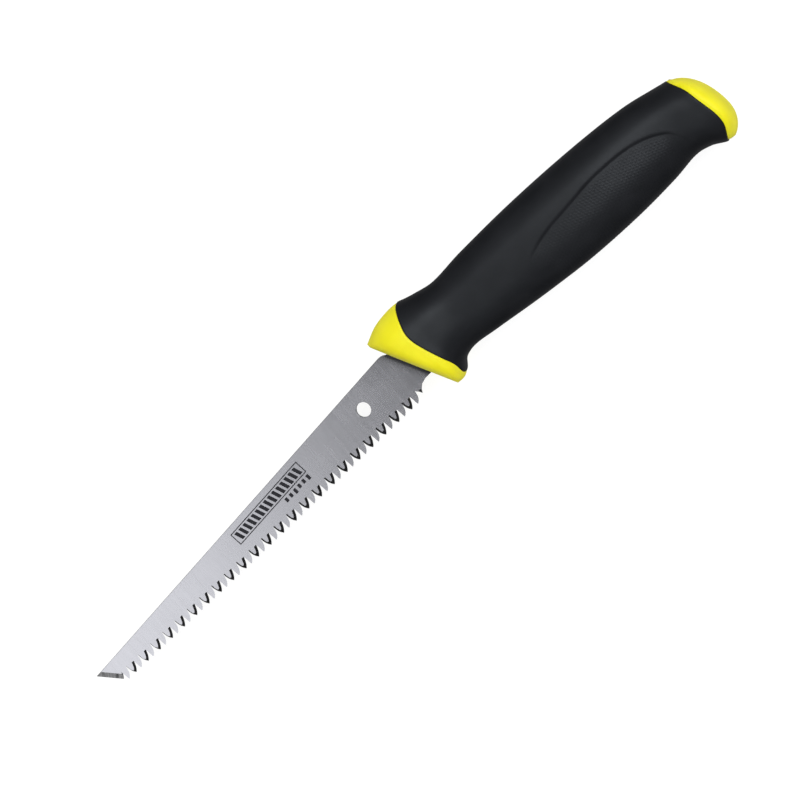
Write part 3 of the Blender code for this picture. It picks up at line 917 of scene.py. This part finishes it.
def make_core_half(node, side):
    """Half of the yellow core with the bolster. side is 1 above the blade's plane and -1 below it."""
    shares = even_shares()
    rings = [oval(TENON_END_X, 0.0), oval(TENON_ROOT_X, 0.0)]
    rear = shifted(rear_seam, CORE_REAR_GAP)
    front = shifted(front_seam, -FIT)
    for k in range(CORE_STEPS + 1):
        rings.append(even_section(between(rear, front, k / CORE_STEPS), shares, inset=SLEEVE_WALL))
    rings += seam_rings(front_seam, nose_edge, NOSE_POWER, NOSE_LEAN)
    bm = skin(rings)
    everything = bm.verts[:] + bm.edges[:] + bm.faces[:]
    bisected = bmesh.ops.bisect_plane(bm, geom=everything, plane_co=(0.0, 0.0, side * PARTING),
                                      plane_no=(0.0, 0.0, -side), clear_outer=True)
    edges = [e for e in bisected["geom_cut"] if isinstance(e, bmesh.types.BMEdge)]
    bmesh.ops.holes_fill(bm, edges=edges, sides=0)
    half = place("bolster_" + node, bm, YELLOW)
    blade = BLADE_HALF + FIT
    cut_away(half, pocket_outline(), -blade, blade)
    for x, y in RIVETS.values():
        floor = float(smooth(HALF_THICK, x)) - SLEEVE_WALL - RIVET_SINK - RIVET_HEAD_HIGH - FIT
        hole = arc((x, y), RIVET_HOLE, 0, 360, RIVET_STEPS)[:-1]
        cut_away(half, hole, -BEYOND_CORE, BEYOND_CORE)
        seat = arc((x, y), RIVET_SEAT, 0, 360, RIVET_STEPS)[:-1]
        low, high = sorted((side * floor, side * BEYOND_CORE))
        cut_away(half, seat, low, high)
    half.data.shade_smooth()
    half.data.set_sharp_from_angle(angle=math.radians(SHARP))
    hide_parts(node)
    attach(half, "root")


def make_cap():
    """The yellow butt, with the socket that it sits on the core by."""
    rings = [oval(TENON_END_X - FIT, FIT), oval(TENON_ROOT_X - FIT, FIT)]
    rings.append(even_section(rear_seam, even_shares(), inset=SLEEVE_WALL))
    rings += seam_rings(rear_seam, butt_edge, BUTT_POWER)
    cap = place("butt_end", skin(rings), YELLOW)
    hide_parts("butt_cap")
    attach(cap, "root")


# ---------------------------------------------------------------- grip

def groove_line():
    """Closely spaced points on the groove, and each one's share of the whole length."""
    points = np.array(GROOVE)
    lengths = np.concatenate(([0.0], np.cumsum(np.linalg.norm(np.diff(points, axis=0), axis=1))))
    at = np.linspace(0.0, lengths[-1], GROOVE_POINTS)
    x = smooth(list(zip(lengths, points[:, 0])), at)
    y = smooth(list(zip(lengths, points[:, 1])), at)
    return np.column_stack((x, y)), at / lengths[-1]


def groove_distance(points):
    """Distance to the groove in plan, above 0 on the panel's side, and the share of its length."""
    line, shares = groove_line()
    best = np.full(len(points), FAR)
    signed = np.zeros(len(points))
    share = np.zeros(len(points))
    for a, b, part in zip(line, line[1:], shares):
        way = b - a
        t = np.clip(((points - a) @ way) / (way @ way), 0.0, 1.0)
        apart = points - (a + t[:, None] * way)
        distance = np.hypot(apart[:, 0], apart[:, 1])
        closer = distance < best
        side = np.sign(apart[:, 0] * way[1] - apart[:, 1] * way[0])
        best = np.where(closer, distance, best)
        signed = np.where(closer, side * distance, signed)
        share = np.where(closer, part, share)
    return signed, share


def ring_places():
    """Shares of the grip's length at which its rings stand: even and fine in the dotted stretch."""
    at = np.array([GRIP_MIDDLE_Y])
    rear, front = float(rear_seam(at)[0]), float(front_seam(at)[0])
    length = front - rear
    lip = list(LIP_RINGS)
    fine = DOT_PITCH / DOT_CELLS
    start, end = PANEL_REAR[0] - DOTTED_MARGIN, PANEL_FRONT[1] + DOTTED_MARGIN
    cells = int((end - start) / fine)
    dotted = [start - rear + k * fine for k in range(cells + 1)]
    rest_rear = list(np.linspace(lip[-1], dotted[0], REST_RINGS[0])[1:-1])
    rest_front = list(np.linspace(dotted[-1], length - lip[-1], REST_RINGS[1])[1:-1])
    places = lip + rest_rear + dotted + rest_front + [length - p for p in reversed(lip)]
    first_dotted = len(lip) + len(rest_rear)
    return np.array(places) / length, np.array(places), length, first_dotted


def around_shares():
    """Shares of a half section: fine from the teeth's side to just past the groove, then wider."""
    fine = np.linspace(0.0, FINE_SHARE, FINE_AROUND, endpoint=False)
    wide = np.linspace(FINE_SHARE, 1.0, WIDE_AROUND)
    return np.concatenate((fine, wide))


def outward_normals(grid):
    """Unit normals of a grid of rings, pointing out of the handle."""
    along = np.gradient(grid, axis=0)
    around = np.roll(grid, -1, axis=1) - np.roll(grid, 1, axis=1)
    normals = np.cross(around, along)
    normals /= np.linalg.norm(normals, axis=2, keepdims=True)
    middle = grid.mean(axis=1, keepdims=True)
    facing = np.sum(normals * (grid - middle), axis=2, keepdims=True)
    return normals * np.sign(facing)


def lip_height(distance):
    """How the grip's surface rounds off and stands proud at this distance from its end."""
    inside = np.clip(LIP_RADIUS - distance, 0.0, LIP_RADIUS)
    rounding = np.sqrt(LIP_RADIUS**2 - inside**2) - LIP_RADIUS
    return rounding + LIP_PROUD * (1.0 - step(distance, 0.0, LIP_REACH))


def dot_heights(rows, columns, first_row):
    """Staggered round dots on the grid's own rows and columns, 0 to 1."""
    row = (np.arange(rows) - first_row)[:, None]
    column = np.arange(columns)[None, :]
    column = np.minimum(column, columns - column)
    cells = DOT_CELLS
    nearest = np.full((rows, columns), FAR)
    for row_shift, column_shift in ((0, 0), (cells, cells // 2)):
        r = (row - row_shift + cells) % (2 * cells) - cells
        c = (column - column_shift + cells // 2) % cells - cells // 2
        nearest = np.minimum(nearest, np.hypot(r, c))
    reach = np.minimum(nearest * DOT_PITCH / cells / DOT_RADIUS, 1.0)
    return np.cos(0.5 * math.pi * reach) ** 2


def make_grip():
    """The soft sleeve with its lips, arched groove, hollowed finger panel and dots."""
    shares, places, length, first_dotted = ring_places()
    around = around_shares()
    rear = shifted(rear_seam, FIT)
    front = shifted(front_seam, -FIT)
    grid = np.array([even_section(between(rear, front, s), around) for s in shares])
    normals = outward_normals(grid)
    rows, columns = grid.shape[:2]
    plan = grid[:, :, :2].reshape(-1, 2)
    signed, part = groove_distance(plan)
    signed, part = signed.reshape(rows, columns), part.reshape(rows, columns)
    x = grid[:, :, 0]
    ends = step(x, *PANEL_REAR) * (1.0 - step(x, *PANEL_FRONT))
    fade = step(part, 0.0, GROOVE_FADE) * (1.0 - step(part, 1.0 - GROOVE_FADE, 1.0))
    height = -GROOVE_DEPTH * fade * np.exp(-(signed / GROOVE_HALF) ** 2)
    runout = np.exp(-(np.maximum(signed, 0.0) / PANEL_RUNOUT) ** 2)
    height -= PANEL_DEPTH * ends * step(signed, *PANEL_STARTS) * runout
    dotted = ends * step(signed, *DOTS_START)
    height += DOT_HIGH * dotted * dot_heights(rows, columns, first_dotted)
    distance = np.minimum(places, length - places)[:, None]
    height += lip_height(distance)
    grid += normals * height[:, :, None]
    inner = [even_section(between(rear, front, k / INNER_STEPS), around, inset=SLEEVE_WALL - FIT)
             for k in range(INNER_STEPS + 1)]
    rings = list(grid) + list(reversed(inner))
    grip = place("grip_skin", skin(rings, joined=True), RUBBER, sharp_angle=GRIP_SHARP)
    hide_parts("grip_sleeve")
    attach(grip, "root")


# ---------------------------------------------------------------- stage, light and camera

VIEW_CENTRE = (14.57, 7.09, 0.0)  # what the picture's middle shows, in the saw's frame
VIEW_DISTANCE = 694.0
VIEW_TILT = math.radians(16.0)  # the camera stands over the handle's side, so the tip recedes
VIEW_ROLL = math.radians(42.5)
LENS = 97.7
SENSOR = 36.0

FLOOR_WHITE = 0.22
FLOOR_GLOW = 0.88
FLOOR_REACH = 4.0  # metres, each way from the middle
FLOOR_BELOW = 0.0002  # the lowest point of the saw, metres

# The room that the saw reflects: (sine of the height over the horizon, radiance), from below to above
ROOM = [(-1.0, 0.22), (-0.75, 0.2), (-0.5, 0.03), (-0.02, 0.03), (0.12, 0.14), (0.3, 0.30),
        (0.75, 0.22), (1.0, 0.08)]

# name, middle (metres, from the point under the saw's middle), sides along and across the saw,
# radiance, whether it is aimed at the saw or hangs level, and whether the saw mirrors it
SOFTBOXES = [
    ("light_over_tip", (0.84, 0.0, 1.2), (0.72, 1.6), 1.56, False, True),
    ("light_spine_side", (-0.18, -0.48, 1.25), (0.9, 0.36), 7.4, True, True),
    ("light_over_handle", (-0.75, -0.05, 1.15), (0.7, 1.0), 3.2, True, True),
    ("light_teeth_side", (-0.35, 1.00, 1.10), (1.2, 0.5), 1.6, True, False),
    ("light_behind_butt", (-1.0, 0.1, 0.45), (0.6, 0.6), 1.2, True, False),
]


def make_camera():
    along = Vector((math.cos(VIEW_TILT), 0.0, math.sin(VIEW_TILT)))
    across = Vector((0.0, 1.0, 0.0))
    back = along.cross(across)
    right = -math.cos(VIEW_ROLL) * along + math.sin(VIEW_ROLL) * across
    up = -math.sin(VIEW_ROLL) * along - math.cos(VIEW_ROLL) * across
    data = bpy.data.cameras.new("camera")
    data.lens = LENS
    data.sensor_width = SENSOR
    data.clip_start = 0.05
    data.clip_end = 20.0
    camera = bpy.data.objects.new("camera", data)
    bpy.context.scene.collection.objects.link(camera)
    turn = Matrix((right, up, back)).transposed().to_4x4()
    camera.matrix_world = Matrix.Translation(to_row(VIEW_CENTRE) + back * VIEW_DISTANCE * MM) @ turn
    bpy.context.scene.camera = camera


def make_floor():
    """A wide white sheet on the floor's plane."""
    made, _, shader = new_material("floor_white", (FLOOR_WHITE, FLOOR_WHITE, FLOOR_WHITE), 0.9)
    shader.inputs["Specular IOR Level"].default_value = 0.0
    shader.inputs["Emission Color"].default_value = (1.0, 1.0, 1.0, 1.0)
    shader.inputs["Emission Strength"].default_value = FLOOR_GLOW
    bm = bmesh.new()
    level = cad_low.z - FLOOR_BELOW
    ways = ((-1, -1), (1, -1), (1, 1), (-1, 1))
    bm.faces.new([bm.verts.new((x * FLOOR_REACH, y * FLOOR_REACH, level)) for x, y in ways])
    mesh = bpy.data.meshes.new("floor")
    bm.to_mesh(mesh)
    bm.free()
    floor = link("floor", mesh, made)
    floor.visible_glossy = False


def make_world():
    """A dim room for the light, and a pale backdrop for the camera."""
    world = bpy.data.worlds.new("studio")
    bpy.context.scene.world = world
    world.use_nodes = True
    tree = world.node_tree
    tree.nodes.clear()
    direction = tree.nodes.new("ShaderNodeTexCoord")
    parts = tree.nodes.new("ShaderNodeSeparateXYZ")
    tree.links.new(direction.outputs["Generated"], parts.inputs["Vector"])
    ramp = tree.nodes.new("ShaderNodeValToRGB")
    greys_on_ramp(ramp.color_ramp, [(0.5 + 0.5 * height, radiance) for height, radiance in ROOM])
    tree.links.new(ranged(tree, parts.outputs["Z"], 0.0, 1.0, -1.0, 1.0), ramp.inputs["Fac"])
    room = tree.nodes.new("ShaderNodeBackground")
    tree.links.new(ramp.outputs["Color"], room.inputs["Color"])
    backdrop = tree.nodes.new("ShaderNodeBackground")
    backdrop.inputs["Color"].default_value = (1.0, 1.0, 1.0, 1.0)
    rays = tree.nodes.new("ShaderNodeLightPath")
    chosen = tree.nodes.new("ShaderNodeMixShader")
    tree.links.new(rays.outputs["Is Camera Ray"], chosen.inputs["Fac"])
    tree.links.new(room.outputs["Background"], chosen.inputs[1])
    tree.links.new(backdrop.outputs["Background"], chosen.inputs[2])
    output = tree.nodes.new("ShaderNodeOutputWorld")
    tree.links.new(chosen.outputs["Shader"], output.inputs["Surface"])


def make_lights():
    """Softboxes over the saw. Radiance times pi times area is a lamp's power in watts."""
    for name, middle, sides, radiance, aimed, mirrored in SOFTBOXES:
        data = bpy.data.lights.new(name, "AREA")
        data.shape = "RECTANGLE"
        data.size, data.size_y = sides
        data.energy = radiance * math.pi * sides[0] * sides[1]
        light = bpy.data.objects.new(name, data)
        bpy.context.scene.collection.objects.link(light)
        light.location = middle
        light.visible_glossy = mirrored
        if aimed:
            light.rotation_euler = Vector(middle).to_track_quat("Z", "X").to_euler()


def set_view():
    scene = bpy.context.scene
    scene.view_settings.view_transform = "Standard"
    scene.view_settings.look = "None"
    scene.view_settings.exposure = 0.0
    scene.view_settings.gamma = 1.0


# ---------------------------------------------------------------- everything

make_camera()
make_blade()
make_mark()
make_core_half("core_left", 1)
make_core_half("core_right", -1)
make_cap()
make_grip()
for node in RIVETS:
    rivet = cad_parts[node]
    rivet.data.materials.clear()
    rivet.data.materials.append(TURNED)
make_floor()
make_world()
make_lights()
set_view()
